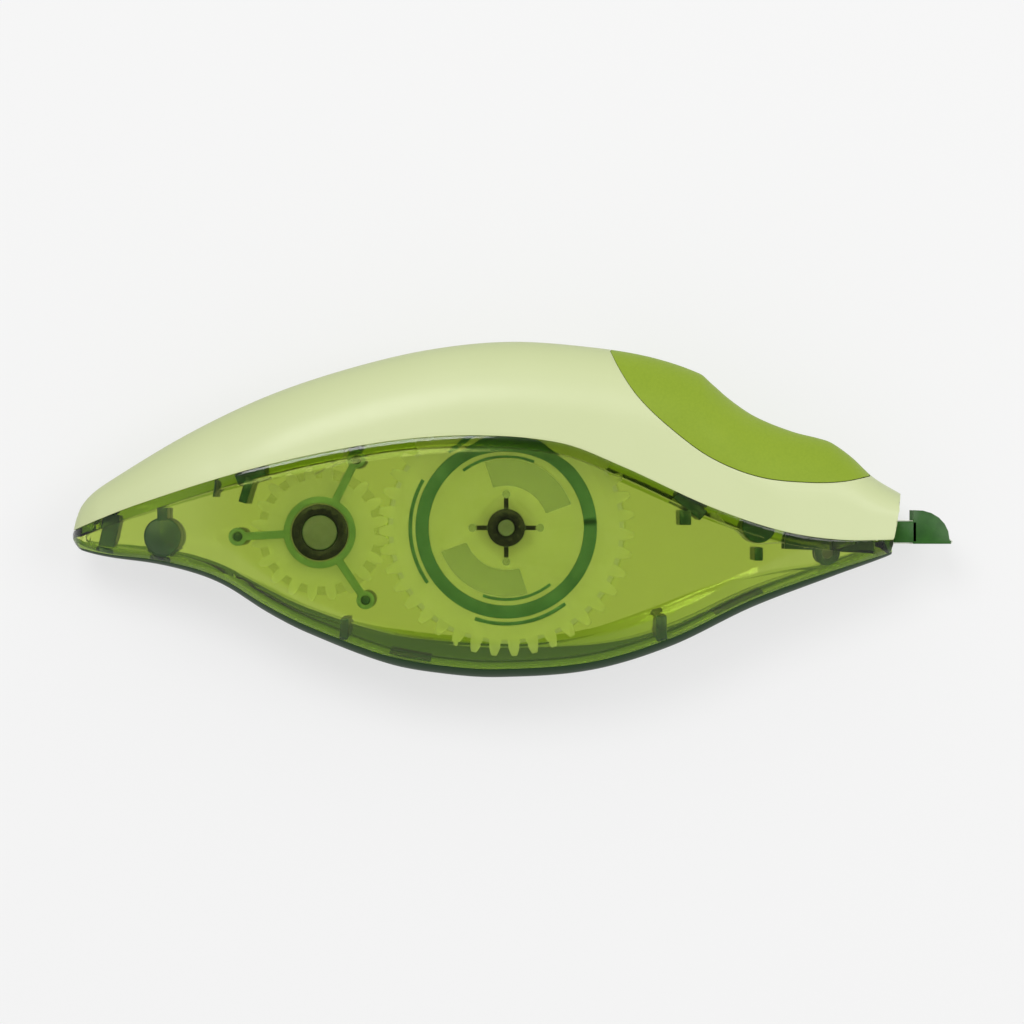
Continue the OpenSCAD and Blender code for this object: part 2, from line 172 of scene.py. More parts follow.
# right half of the cross section, moved inwards by inset, from mid spine to mid belly
def halfSection(x, inset=0):
    inset += bodyForm["skin"]
    x = max(x, bodyForm["tail"] + inset)
    top = heightAt(bodyForm["spine"], x) - inset
    low = heightAt(bodyForm["belly"], x) + inset
    half = min(heightAt(bodyForm["halfWidth"], x), bodyForm["fullHalfWidth"]) - inset
    tall = top - low
    topY, topZ = cornerSize(bodyForm["topCorner"], tall, half, inset)
    lowY, lowZ = cornerSize(bodyForm["lowCorner"], tall, half, inset)
    cornerSteps = bodyForm["cornerSteps"]
    points = [(top, 0)]
    for k in range(cornerSteps + 1):
        a = math.radians(90 - 90 * k / cornerSteps)
        points.append((top - topY + topY * math.sin(a), half - topZ + topZ * math.cos(a)))
    for k in range(cornerSteps + 1):
        a = math.radians(90 * k / cornerSteps)
        points.append((low + lowY - lowY * math.sin(a), half - lowZ + lowZ * math.cos(a)))
    points.append((low, 0))
    # the tail closes to a round end
    near = (x - bodyForm["tail"] - inset) / bodyForm["tailRound"]
    if near < 1:
        close = math.sqrt(max(0, 1 - (1 - near) ** 2))
        middle = bodyForm["tailHeight"]
        points = [(middle + (y - middle) * close, z * close) for y, z in points]
    return [(x, y, z) for y, z in points]


def runLengths(points):
    run = [0]
    for a, b in zip(points, points[1:]):
        run.append(run[-1] + math.dist(a, b))
    return run


def placeAlong(points, run, s):
    s = min(max(s, 0), run[-1])
    i = 0
    while i < len(run) - 2 and run[i + 1] < s:
        i += 1
    t = (s - run[i]) / max(run[i + 1] - run[i], 1e-9)
    return tuple(a + (b - a) * t for a, b in zip(points[i], points[i + 1]))


# how far down the section the height y is passed
def lengthDownTo(points, run, y):
    for i in range(1, len(points)):
        if points[i][1] <= y:
            drop = points[i - 1][1] - points[i][1]
            t = (points[i - 1][1] - y) / drop if drop > 1e-9 else 0
            return run[i - 1] + (run[i] - run[i - 1]) * min(max(t, 0), 1)
    return run[-1]


def spread(start, end, count, ease=1):
    return [start + (end - start) * (k / count) ** ease for k in range(count + 1)]


# places down one side of the section between two heights; all are one point up to the start
def strip(x, inset, count, upper=None, lower=None, start=None):
    if start is None:
        start = bodyForm["tail"] + inset + bodyForm["skin"]
    section = halfSection(max(x, start), inset)
    run = runLengths(section)
    first = 0 if upper is None else lengthDownTo(section, run, upper)
    last = run[-1] if lower is None else lengthDownTo(section, run, lower)
    places = [placeAlong(section, run, s) for s in spread(first, max(first, last), count)]
    if x <= start:
        places = [places[0]] * (count + 1)
    return places


# where the top of the moved section first stands over the cover's edge
def startOver(inset, rise=0):
    x = bodyForm["tail"] + inset + bodyForm["skin"]
    while halfSection(x, inset)[0][1] <= heightAt(bodyForm["coverEdge"], x) + rise:
        x += 0.02
    return x


def mirrored(places):
    return [(x, y, -z) for x, y, z in places]


# a closed wall: columns run along the body, and each column's places go once round the wall
def bodyWall(name, columns, loopAt):
    loops = []
    for column in columns:
        loop = loopAt(*column)
        loops.append(loop + [loop[0]])
    rows = len(loops[0])
    pickNone()
    bpy.ops.mesh.primitive_grid_add(x_subdivisions=len(columns) - 1, y_subdivisions=rows - 1, size=2)
    piece = nameIt(name)
    for v in piece.data.vertices:
        i = round((v.co.x + 1) / 2 * (len(columns) - 1))
        j = round((v.co.y + 1) / 2 * (rows - 1))
        x, y, z = loops[i][j]
        v.co = Vector((x * mm, y * mm, midZ + z * mm))
    tidyMesh(piece)
    return piece


padBelow = 0.25  # the pad's bed starts this far below the spine


# where the pad's edge runs out over the spine, searched from x in steps
def padEnd(x, step):
    while heightAt(bodyForm["padEdge"], x) > heightAt(bodyForm["spine"], x) - padBelow:
        x += step
    return x


# columns are closer together at the tail, and fall exactly on the pad's two ends
padEnds = (padEnd(11.2, 0.01), padEnd(44.2, -0.01))
tailPart = -48
columns = (spread(bodyForm["tail"], tailPart, 26, 1.5)[:-1] + spread(tailPart, padEnds[0], 100)[:-1]
           + spread(padEnds[0], padEnds[1], 84)[:-1] + spread(padEnds[1], bodyForm["nose"], 10))


# the slanted nose, cut with its rim closed
def cutNose(piece, back=0):
    (x1, y1), (x2, y2) = bodyForm["noseTop"], bodyForm["noseLow"]
    facing = Vector((y1 - y2, x2 - x1, 0)).normalized()
    pick(piece)
    bpy.ops.object.mode_set(mode="EDIT")
    bpy.ops.mesh.select_all(action="SELECT")
    bpy.ops.mesh.bisect(plane_co=((x1 - back) * mm, y1 * mm, midZ), plane_no=facing,
                        use_fill=True, clear_outer=True)
    bpy.ops.object.mode_set(mode="OBJECT")


# the spine cover, with a bed for the grip pad
cover = {"wall": 1.9, "bed": 1.2, "rim": 0.2, "padRows": 22, "sideRows": 26, "innerRows": 40}
coverStart = {inset: startOver(inset) for inset in (0, cover["wall"])}


def coverLoop(x, inBed):
    edge = heightAt(bodyForm["coverEdge"], x)
    inPad = padEnds[0] <= x <= padEnds[1]
    padEdge = heightAt(bodyForm["padEdge"], x) if inPad else heightAt(bodyForm["spine"], x) - padBelow
    bed = cover["bed"] if inBed else 0
    start = coverStart[0]
    right = (strip(x, bed, cover["padRows"], lower=padEdge, start=start)
             + strip(x, 0, cover["sideRows"], upper=padEdge, lower=edge, start=start))
    inner = strip(x, cover["wall"], cover["innerRows"], lower=edge, start=coverStart[cover["wall"]])
    return right[::-1] + mirrored(right) + mirrored(inner)[::-1] + inner


def makeCover():
    marked = []
    for x in columns:
        if x == padEnds[0]:
            marked += [(x, False), (x, True)]
        elif x == padEnds[1]:
            marked += [(x, True), (x, False)]
        else:
            marked.append((x, padEnds[0] < x < padEnds[1]))
    piece = bodyWall("spineCover", marked, coverLoop)
    cutNose(piece)
    tidyMesh(piece)
    softenEdges(piece, cover["rim"], 3, 50)
    smooth(piece, 40)
    return piece


# the soft grip pad, whose end columns fold onto its inner side to close it
gripPad = {"thick": 1.12, "gap": 0.09, "rim": 0.28, "columns": 110, "rows": 30}


def padLoop(x, outerInset):
    edge = heightAt(bodyForm["padEdge"], x) + gripPad["gap"]
    outer = strip(x, outerInset, gripPad["rows"], lower=edge)
    inner = strip(x, gripPad["thick"], gripPad["rows"], lower=edge)
    return outer[::-1] + mirrored(outer) + mirrored(inner)[::-1] + inner


def makePad():
    ends = padEnds[0] + gripPad["gap"], padEnds[1] - gripPad["gap"]
    marked = [(x, 0) for x in spread(*ends, gripPad["columns"])]
    marked = [(ends[0], gripPad["thick"])] + marked + [(ends[1], gripPad["thick"])]
    piece = bodyWall("gripPad", marked, padLoop)
    softenEdges(piece, gripPad["rim"], 4, 50)
    smooth(piece, 40)
    return piece


# the two clear shells: full size below the cover's edge, and sunk under the cover
shell = {"wall": 1.2, "under": 0.02, "sunk": 2.0, "gap": 0.1, "rim": 0.15, "seam": 0.02,
         "noseBack": 0.05, "lowRows": 44, "keelRows": 26, "highRows": 20,
         "keelWall": {1: [(-54, 1.25), (48, 1.25)],
                      -1: [(-54, 1.25), (-30, 2.4), (-10, 3.4), (6, 3.2), (16, 2.3), (40, 1.6),
                           (47.2, 1.25)]},
         "keelLine": [(-54, -3.8), (-45, -5), (-38.1, -6.3), (-31, -9), (-24.7, -12.2), (-15, -15),
                      (0, -16.2), (9, -15.2), (15.6, -13), (24.5, -9.4), (31.7, -7.5), (40, -6.2),
                      (48, -3.9)]}
shellStart = {"outer": startOver(shell["sunk"], -shell["gap"]),
              "inner": startOver(shell["sunk"] + shell["wall"], -shell["gap"] - shell["wall"])}


def shellLoop(x, side):
    edge = heightAt(bodyForm["coverEdge"], x) - shell["gap"]
    ledge = edge - shell["wall"]
    deep = shell["sunk"] + shell["wall"]
    outer = (strip(x, shell["sunk"], shell["highRows"], lower=edge, start=shellStart["outer"])
             + strip(x, shell["under"], shell["lowRows"], upper=edge))
    keel = min(heightAt(shell["keelLine"], x), ledge)
    keelWall = heightAt(shell["keelWall"][side], x)
    inner = (strip(x, deep, shell["highRows"], lower=ledge, start=shellStart["inner"])
             + strip(x, shell["wall"], shell["lowRows"] - shell["keelRows"], upper=ledge, lower=keel)
             + strip(x, keelWall, shell["keelRows"], upper=keel))
    return outer + inner[::-1]


def makeShell(name, side):
    piece = bodyWall(name, [(x, side) for x in columns], shellLoop)
    for v in piece.data.vertices:
        v.co.z = midZ + side * max(v.co.z - midZ, shell["seam"] * mm)
    cutNose(piece, shell["noseBack"])
    tidyMesh(piece)
    softenEdges(piece, shell["rim"], 2, 55)
    smooth(piece, 40)
    return piece


# dark keel strip over the seam; its dark colour is partly painted shade, for the dark edge that the clear
# belly shows: it lies in the belly and reaches a little up both sides
seamShadeRail = {"start": -52.4, "end": 46.0, "outer": 0.002, "thick": 0.8, "least": 0.02,
            "columns": 160, "rows": 22,
            "rise": [(-53, 0.3), (-40, 0.6), (-25, 0.95), (0, 1.1), (30, 1.0), (42, 0.6), (47, 0.3)]}


def railLoop(x, outerInset):
    top = heightAt(bodyForm["belly"], x) + heightAt(seamShadeRail["rise"], x)
    innerLow = halfSection(x, seamShadeRail["thick"])[-1][1]
    outer = strip(x, outerInset, seamShadeRail["rows"], upper=top)
    inner = strip(x, seamShadeRail["thick"], seamShadeRail["rows"], upper=max(top, innerLow + seamShadeRail["least"]))
    return outer + mirrored(outer)[::-1] + mirrored(inner) + inner[::-1]


def makeRail():
    places = spread(seamShadeRail["start"], seamShadeRail["end"], seamShadeRail["columns"])
    marked = [(x, seamShadeRail["outer"]) for x in places]
    marked = [(places[0], seamShadeRail["thick"])] + marked + [(places[-1], seamShadeRail["thick"])]
    piece = bodyWall("seamShadeRail", marked, railLoop)
    softenEdges(piece, 0.08, 2, 50)
    smooth(piece, 40)
    return piece


rightShell = makeShell("rightShell", 1)
leftShell = makeShell("leftShell", -1)
rail = makeRail()
print("shells made")
spineCover = makeCover()
print("cover made")
pad = makePad()
print("pad made")


# half the depth to the inside of the side walls at a place in the side view
def depthAt(x, y, inset=0.5, wall=1.2):
    section = halfSection(x, inset)
    run = runLengths(section)
    return placeAlong(section, run, lengthDownTo(section, run, y))[2] - wall + inset


def makePost(x, y, radius, z1, z2, rim=0.12, sides=40):
    pickNone()
    bpy.ops.mesh.primitive_cylinder_add(vertices=sides, radius=radius * mm, depth=(z2 - z1) * mm,
                                        location=(x * mm, y * mm, (z1 + z2) / 2 * mm))
    piece = nameIt("post")
    settle(piece)
    softenEdges(piece, rim, 2, 50)
    return piece


# a straight rib between two places in the side view, with its ends rounded a little
def makeRib(a, b, width, z1, z2, rim=0.12):
    length = math.dist(a, b)
    pickNone()
    bpy.ops.mesh.primitive_cube_add(size=1)
    piece = nameIt("rib")
    piece.scale = (length * mm, width * mm, (z2 - z1) * mm)
    piece.rotation_euler = (0, 0, math.atan2(b[1] - a[1], b[0] - a[0]))
    piece.location = ((a[0] + b[0]) / 2 * mm, (a[1] + b[1]) / 2 * mm, (z1 + z2) / 2 * mm)
    settle(piece)
    softenEdges(piece, min(rim, width * 0.3), 2, 50)
    return piece


# posts, ribs and latches moulded inside the shells
inside = {
    "middle": 9,
    "split": 0.05,
    "posts": [(-42.2, -3.25, 2.24), (29.75, -2.07, 2.0)],
    "ribs": [((-33.2, 3.5), (-29.8, 4.7), 1.1), ((-32.5, 0.8), (-31.6, 3.8), 1.0),
             ((20.9, -0.1), (20.9, -1.9), 1.4), ((19.9, 1.9), (23.1, -0.8), 1.4),
             ((-48.2, -0.6), (-49.25, -5), 1.9), ((-14.9, -17.75), (-9.9, -18.7), 1.2),
             ((24.8, -13.2), (30.6, -10.4), 1.1), ((18, -12.8), (18, -15.6), 1.3),
             ((-20.2, -13.2), (-20.2, -15.4), 1.0), ((-43.8, -4.5), (-42.4, -5.9), 0.9),
             ((-40.6, -4.5), (-42.0, -5.9), 0.9), ((-35.7, 3.2), (-36.0, 1.5), 0.2),
             ((-42.2, -1.4), (-42.2, 0.2), 1.2), ((29.75, -4.6), (29.75, -6.2), 1.0)],
}


def makeInside(side):
    middle = inside["middle"]
    start = middle + side * inside["split"]
    pieces = []
    for x, y, radius in inside["posts"]:
        ends = sorted((start, middle + side * (depthAt(x, y) - 0.05)))
        pieces.append(makePost(x, y, radius, *ends, rim=0.25))
    for a, b, width in inside["ribs"]:
        deep = min(depthAt(*a), depthAt((a[0] + b[0]) / 2, (a[1] + b[1]) / 2), depthAt(*b))
        ends = sorted((start, middle + side * (deep - 0.02)))
        pieces.append(makeRib(a, b, width, *ends))
    return pieces


supplyAxis = (-0.7, -2.25)
takeUpAxis = (-23.26, -2.8)
# stepped posts that rise from the left shell: each step's radius, bottom and top
reelPosts = {supplyAxis: [(2.6, 1.3, 5.2), (1.0, 5.0, 15.2)],
             takeUpAxis: [(3.2, 1.3, 5.2), (2.15, 5.0, 14.6)]}
armPost = {"reach": 9.9, "angles": (183, 63.5, -56), "steps": [(1.1, 1.3, 13.7), (0.55, 13.5, 14.6)]}


def makeSteps(x, y, steps):
    return [makePost(x, y, *step) for step in steps]


leftPieces = makeInside(-1)
for axis, steps in reelPosts.items():
    leftPieces += makeSteps(*axis, steps)
for angle in armPost["angles"]:
    a = math.radians(angle)
    leftPieces += makeSteps(takeUpAxis[0] + armPost["reach"] * math.cos(a),
                            takeUpAxis[1] + armPost["reach"] * math.sin(a), armPost["steps"])
leftPosts = joinAll(leftPieces, "leftPosts")
rightPosts = joinAll(makeInside(1), "rightPosts")
for piece in (leftPosts, rightPosts):
    smooth(piece, 40)
print("posts and ribs made")

for piece in (rightShell, leftShell, spineCover, pad, leftPosts, rightPosts, rail):
    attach(piece, "housing")
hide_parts("right_shell")
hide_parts("left_shell")
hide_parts("top_cover")
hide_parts("grip_pad")


# a frame piece's own mesh, merged and given softened edges, to stand for it
def finishedFrom(nodeName, name, rim, segments=2):
    piece = bpy.data.objects.new(name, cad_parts[nodeName].data.copy())
    bpy.context.scene.collection.objects.link(piece)
    pick(piece)
    nameIt(name)
    bpy.ops.object.mode_set(mode="EDIT")
    bpy.ops.mesh.select_all(action="SELECT")
    bpy.ops.mesh.remove_doubles(threshold=0.0001 * mm)
    bpy.ops.mesh.dissolve_limited(angle_limit=math.radians(1))
    bpy.ops.object.mode_set(mode="OBJECT")
    softenEdges(piece, rim, segments, 38)
    return piece


arcStep = 4  # degrees between the steps of an arc


# a low raised arc: one small face, spun round an axis
def makeArc(axis, r1, r2, a1, a2, z1, z2):
    pickNone()
    bpy.ops.mesh.primitive_plane_add(size=1)
    piece = nameIt("arc")
    a = math.radians(a1)
    for v in piece.data.vertices:
        radius = r1 if v.co.x < 0 else r2
        height = z1 if v.co.y < 0 else z2
        v.co = Vector(((axis[0] + radius * math.cos(a)) * mm, (axis[1] + radius * math.sin(a)) * mm,
                       height * mm))
    pick(piece)
    bpy.ops.object.mode_set(mode="EDIT")
    bpy.ops.mesh.select_all(action="SELECT")
    bpy.ops.mesh.spin(steps=max(4, int((a2 - a1) / arcStep)), angle=math.radians(a2 - a1),
                      center=(axis[0] * mm, axis[1] * mm, 0), axis=(0, 0, 1))
    bpy.ops.mesh.select_all(action="SELECT")
    bpy.ops.mesh.remove_doubles(threshold=0.001 * mm)
    bpy.ops.mesh.normals_make_consistent(inside=False)
    bpy.ops.object.mode_set(mode="OBJECT")
    return piece


# drive gear with the low arcs that are moulded on its outer face
driveGear = {"top": 13.5, "rise": 0.2, "sunk": 0.1, "ringLower": 0.08,
             "ring": (9.4, 11.0),
             "arcs": [(8.5, 8.85, 127, 187), (8.5, 8.85, -52, 5), (11.4, 11.85, 127, 187),
                      (11.4, 11.85, -52, 5), (11.4, 11.85, 215, 280)]}


def makeDriveGear():
    piece = finishedFrom("drive_gear", "driveGear", 0.1)
    smooth(piece, 30)
    return piece


def makeGearArcs():
    low, high = driveGear["top"] - driveGear["sunk"], driveGear["top"] + driveGear["rise"]
    parts = [makeArc(supplyAxis, *driveGear["ring"], 0, 360, low,
                     high - driveGear["ringLower"])]
    for r1, r2, a1, a2 in driveGear["arcs"]:
        parts.append(makeArc(supplyAxis, r1, r2, a1, a2, low, high))
    piece = joinAll(parts, "driveGearRings")
    softenEdges(piece, 0.05, 2, 50)
    smooth(piece, 30)
    return piece


# black hub rings, each with a ring of small grips on its end
hubRings = {
    "driveHubRing": {"axis": supplyAxis, "radius": 1.72, "top": 14.9, "grips": 10, "grip": 0.3},
    "takeUpHubRing": {"axis": takeUpAxis, "radius": 2.8, "top": 15.2, "grips": 16, "grip": 0.28},
}


def makeHubRing(nodeName, name):
    ring = hubRings[name]
    top = ring["top"]
    parts = [finishedFrom(nodeName, name, 0.15)]
    for k in range(ring["grips"]):
        a = math.radians(360 * k / ring["grips"])
        x = ring["axis"][0] + ring["radius"] * math.cos(a)
        y = ring["axis"][1] + ring["radius"] * math.sin(a)
        parts.append(makePost(x, y, ring["grip"], top - 0.3, top + 0.16, 0.05, 12))
    piece = joinAll(parts, name)
    smooth(piece, 30)
    return piece


def makePlain(nodeName, name, rim):
    piece = finishedFrom(nodeName, name, rim)
    smooth(piece, 32)
    return piece


# grey-green pin ends in the hub rings, each with a low ring on its end
pinEnds = [
    {"axis": supplyAxis, "end": (0.99, 14.0, 15.25, 0.12), "ring": (0.3, 0.5), "rise": (15.2, 15.33)},
    {"axis": takeUpAxis, "end": (2.13, 13.2, 14.65, 0.2), "ring": (1.1, 1.35), "rise": (14.6, 14.75)},
]


def makePins():
    parts = []
    for pin in pinEnds:
        parts.append(makePost(*pin["axis"], *pin["end"]))
        parts.append(makeArc(pin["axis"], *pin["ring"], 0, 360, *pin["rise"]))
    piece = joinAll(parts, "hubPins")
    smooth(piece, 40)
    return piece


# foot of the tip, with the two arms that join its flanges to the stem
tipArm = {"from": (46.3, -2.75), "to": (49.2, -2.75), "height": 2.6, "thick": 0.7, "bottoms": (5.6, 11.7)}


def makeTip():
    parts = [finishedFrom("applicator_tip", "tipFoot", 0.08)]
    for z in tipArm["bottoms"]:
        parts.append(makeRib(tipArm["from"], tipArm["to"], tipArm["height"], z, z + tipArm["thick"], 0.15))
    piece = joinAll(parts, "applicatorTip")
    smooth(piece, 32)
    return piece


made = {
    "drive_gear": (makeDriveGear(), "drive", "gear_plastic"),
    "take_up_gear": (makePlain("take_up_gear", "takeUpGear", 0.1), "take_up_reel", "gear_plastic"),
    "drive_bush": (makeHubRing("drive_bush", "driveHubRing"), "drive", "black_plastic"),
    "take_up_bush": (makeHubRing("take_up_bush", "takeUpHubRing"), "take_up_reel", "black_plastic"),
    "supply_core": (makePlain("supply_core", "supplyCore", 0.15), "supply_reel", "dark_plastic"),
    "supply_flange": (makePlain("supply_flange", "supplyFlange", 0.12), "supply_reel", "gear_plastic"),
    "take_up_core": (makePlain("take_up_core", "takeUpCore", 0.12), "take_up_reel", "dark_plastic"),
    "take_up_flange": (makePlain("take_up_flange", "takeUpFlange", 0.12), "take_up_reel", "gear_plastic"),
    "take_up_bridge": (makePlain("take_up_bridge", "takeUpBridge", 0.12), "housing", "dark_plastic"),
    "tip_holder": (makePlain("tip_holder", "tipHolder", 0.1), "housing", "dark_plastic"),
    "guide_roller": (makePlain("guide_roller", "guideRoller", 0.12), "guide", "dark_plastic"),
    "applicator_tip": (makeTip(), "tip", "dark_plastic"),
    "tape_roll": (makePlain("tape_roll", "tapeRoll", 0.06), "supply_reel", "tape_white"),
    "liner_roll": (makePlain("liner_roll", "linerRoll", 0.06), "take_up_reel", "liner_paper"),
}
for nodeName, (piece, body, slotName) in made.items():
    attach(piece, body)
    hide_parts(nodeName)
hubPins = makePins()
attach(hubPins, "housing")
gearArcs = makeGearArcs()
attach(gearArcs, "drive")
print("reels, gears and tip finished")


# finishes: wraps a socket, so that shader maths reads as plain expressions
class Shade:
    def __init__(self, finish, socket):
        self.finish = finish
        self.socket = socket

    def math(self, operation, first, second):
        return self.finish.node("Math", {"operation": operation}, {0: first, 1: second})

    def __add__(self, other):
        return self.math("ADD", self, other)

    def __mul__(self, other):
        return self.math("MULTIPLY", self, other)

    __radd__ = __add__
    __rmul__ = __mul__


# one finish: its material, or the world, and the nodes that are added to it
class Finish:
    def __init__(self, name, world=None):
        self.material = world or bpy.data.materials.new(name)
        self.material.use_nodes = True
        self.tree = self.material.node_tree
        self.shader = self.tree.nodes["Background" if world else "Principled BSDF"]
        self.output = self.tree.nodes["World Output" if world else "Material Output"]

    def node(self, kind, settings=None, inputs=None, output=0):
        node = self.tree.nodes.new("ShaderNode" + kind)
        for key, value in (settings or {}).items():
            if key == "stops":
                self.setStops(node.color_ramp.elements, value)
            else:
                setattr(node, key, value)
        for key, value in (inputs or {}).items():
            self.feed(node.inputs[key], value)
        return Shade(self, node.outputs[output])

    def setStops(self, elements, stops):
        for element, (spot, shade) in zip(elements, (stops[0], stops[-1])):
            element.position = spot
            element.color = (shade, shade, shade, 1)
        for spot, shade in stops[1:-1]:
            elements.new(spot).color = (shade, shade, shade, 1)

    def feed(self, socket, value):
        if isinstance(value, Shade):
            self.tree.links.new(value.socket, socket)
        elif socket.type == "RGBA" and len(value) == 3:
            socket.default_value = (*value, 1)
        else:
            socket.default_value = value

    def place(self, centre=(0, 0, 0)):
        spot = self.node("TexCoord", output=3)
        return self.node("Mapping", inputs={"Vector": spot, "Location": [-c for c in centre]})

    def noise(self, place, size, detail=2, roughness=0.5):
        return self.node("TexNoise", inputs={"Vector": place, "Scale": 1 / size, "Detail": detail,
                                             "Roughness": roughness})

    def ramp(self, value, *stops):
        return self.node("ValToRGB", {"stops": stops}, {"Fac": value})

    def mix(self, mask, first, second):
        return self.node("Mix", {"data_type": "RGBA"}, {"Factor": mask, 6: first, 7: second}, output=2)

    def bump(self, height, depth, strength=1.0):
        return self.node("Bump", inputs={"Height": height, "Distance": depth, "Strength": strength})

    def set(self, **sockets):
        names = {"colour": "Base Color", "roughness": "Roughness", "normal": "Normal",
                 "alpha": "Alpha", "transmission": "Transmission Weight", "ior": "IOR",
                 "coat": "Coat Weight", "coatRoughness": "Coat Roughness",
                 "sheen": "Sheen Weight", "specular": "Specular IOR Level", "metallic": "Metallic",
                 "glow": "Emission Color", "glowStrength": "Emission Strength"}
        for key, value in sockets.items():
            self.feed(self.shader.inputs[names[key]], value)
        return self.material


def putOn(piece, material):
    piece.data.materials.clear()
    piece.data.materials.append(material)
    for face in piece.data.polygons:
        face.material_index = 0


# spine is a painted shade colour, which the cover takes where it turns away from the light
coverFinish = {"pale": (0.595, 0.655, 0.355), "deep": (0.540, 0.610, 0.300),
               "spine": (0.430, 0.495, 0.215), "grain": 0.00012, "cloud": 0.018, "scuff": 0.0016}


def coverPlastic():
    f = Finish("coverPlastic")
    place = f.place()
    cloud = f.noise(place, coverFinish["cloud"], 3)
    grain = f.noise(place, coverFinish["grain"], 2)
    scuff = f.noise(place, coverFinish["scuff"], 4, 0.7)
    facing = f.node("SeparateXYZ", inputs={"Vector": f.node("TexCoord", output=1)}, output=2)
    colour = f.mix(f.ramp(cloud, (0.35, 0), (0.7, 1)) * 0.35, coverFinish["pale"], coverFinish["deep"])
    # painted shade: the colour is darker where the surface turns away from the camera and the light, as it
    # rolls over the spine
    colour = f.mix(f.ramp(facing, (0.0, 1), (0.45, 0.55), (0.9, 0)), colour, coverFinish["spine"])
    return f.set(colour=colour, roughness=0.34 + 0.12 * scuff + 0.06 * cloud, coat=0.12,
                 normal=f.bump(grain * 0.6 + scuff * 0.4, 0.000010), coatRoughness=0.2)


padFinish = {"light": (0.268, 0.380, 0.016), "deep": (0.198, 0.300, 0.010), "grain": 0.00032,
             "cloud": 0.006}


def gripRubber():
    f = Finish("gripRubber")
    place = f.place()
    pebble = f.node("TexVoronoi", {"feature": "SMOOTH_F1"},
                    {"Vector": place, "Scale": 1 / padFinish["grain"], "Smoothness": 0.6})
    cloud = f.noise(place, padFinish["cloud"], 3)
    colour = f.mix(cloud * 0.5 + pebble * 0.3, padFinish["light"], padFinish["deep"])
    return f.set(colour=colour, roughness=0.55 + 0.15 * cloud, normal=f.bump(pebble, 0.00003, 0.6),
                 sheen=0.05, specular=0.35)


# farDensity is painted shade: the left shell's copy of the clear plastic absorbs more, to hold back the
# floor's glow that comes up through it
clearFinish = {"glass": (0.94, 0.98, 0.72), "tint": (0.680, 0.775, 0.020), "density": 560,
               "farDensity": 1050}


def clearGreen(name, density):
    f = Finish(name)
    place = f.place()
    smudge = f.noise(place, 0.009, 4, 0.6)
    fine = f.noise(place, 0.0009, 2)
    f.feed(f.output.inputs["Volume"],
           f.node("VolumeAbsorption", inputs={"Color": clearFinish["tint"],
                                              "Density": density}))
    return f.set(colour=clearFinish["glass"], transmission=1.0, ior=1.46, specular=0.2,
                 roughness=0.02 + 0.08 * smudge, normal=f.bump(fine * 0.5 + smudge, 0.000006))


def plainPlastic(name, light, deep, roughness, **sockets):
    f = Finish(name)
    place = f.place()
    cloud = f.noise(place, 0.003, 4, 0.6)
    grain = f.noise(place, 0.0002, 2)
    colour = f.mix(f.ramp(cloud, (0.3, 0), (0.7, 1)), light, deep)
    return f.set(colour=colour, roughness=roughness + 0.15 * cloud, normal=f.bump(grain, 0.00001),
                 **sockets)


# wound film seen from the side: fine rings round the reel's axis
def woundFilm(name, axis, light, deep, **sockets):
    f = Finish(name)
    place = f.place((axis[0] * mm, axis[1] * mm, 0))
    flat = f.node("VectorMath", {"operation": "MULTIPLY"}, {0: place, 1: (1, 1, 0)})
    radius = f.node("VectorMath", {"operation": "LENGTH"}, {0: flat}, output=1)
    rings = f.node("TexNoise", {"noise_dimensions": "1D"},
                   {"W": radius * 9000, "Scale": 1.0, "Detail": 2})
    colour = f.mix(rings, light, deep)
    return f.set(colour=colour, roughness=0.6 + 0.15 * rings, normal=f.bump(rings, 0.00003), **sockets)


# dark stands for the seam and is partly painted shade for the dark edge of the clear belly; inner, glow
# and strength are painted light on the side that faces into the shells
stripFinish = {"dark": (0.008, 0.036, 0.006), "inner": (0.500, 0.680, 0.220), "cloud": 0.004,
               "grain": 0.0002, "glow": (0.45, 0.65, 0.1), "strength": 0.25}


# the strip is dark outside, and where it faces into the shells it gets a painted lighter colour and a
# painted glow, which stand for light that reaches it there
def stripPlastic():
    f = Finish("stripPlastic")
    place = f.place()
    cloud = f.noise(place, stripFinish["cloud"], 4)
    grain = f.noise(place, stripFinish["grain"], 2)
    facing = f.node("SeparateXYZ", inputs={"Vector": f.node("TexCoord", output=1)}, output=1)
    paintedLightSide = f.ramp(facing, (0.0, 0), (0.3, 1))
    colour = f.mix(paintedLightSide, stripFinish["dark"], stripFinish["inner"])
    colour = f.mix(cloud * 0.3, colour, stripFinish["dark"])
    return f.set(colour=colour, roughness=0.4 + 0.15 * cloud, normal=f.bump(grain, 0.00001),
                 specular=0.2, glow=f.mix(paintedLightSide, (0, 0, 0), stripFinish["glow"]),
                 glowStrength=stripFinish["strength"])


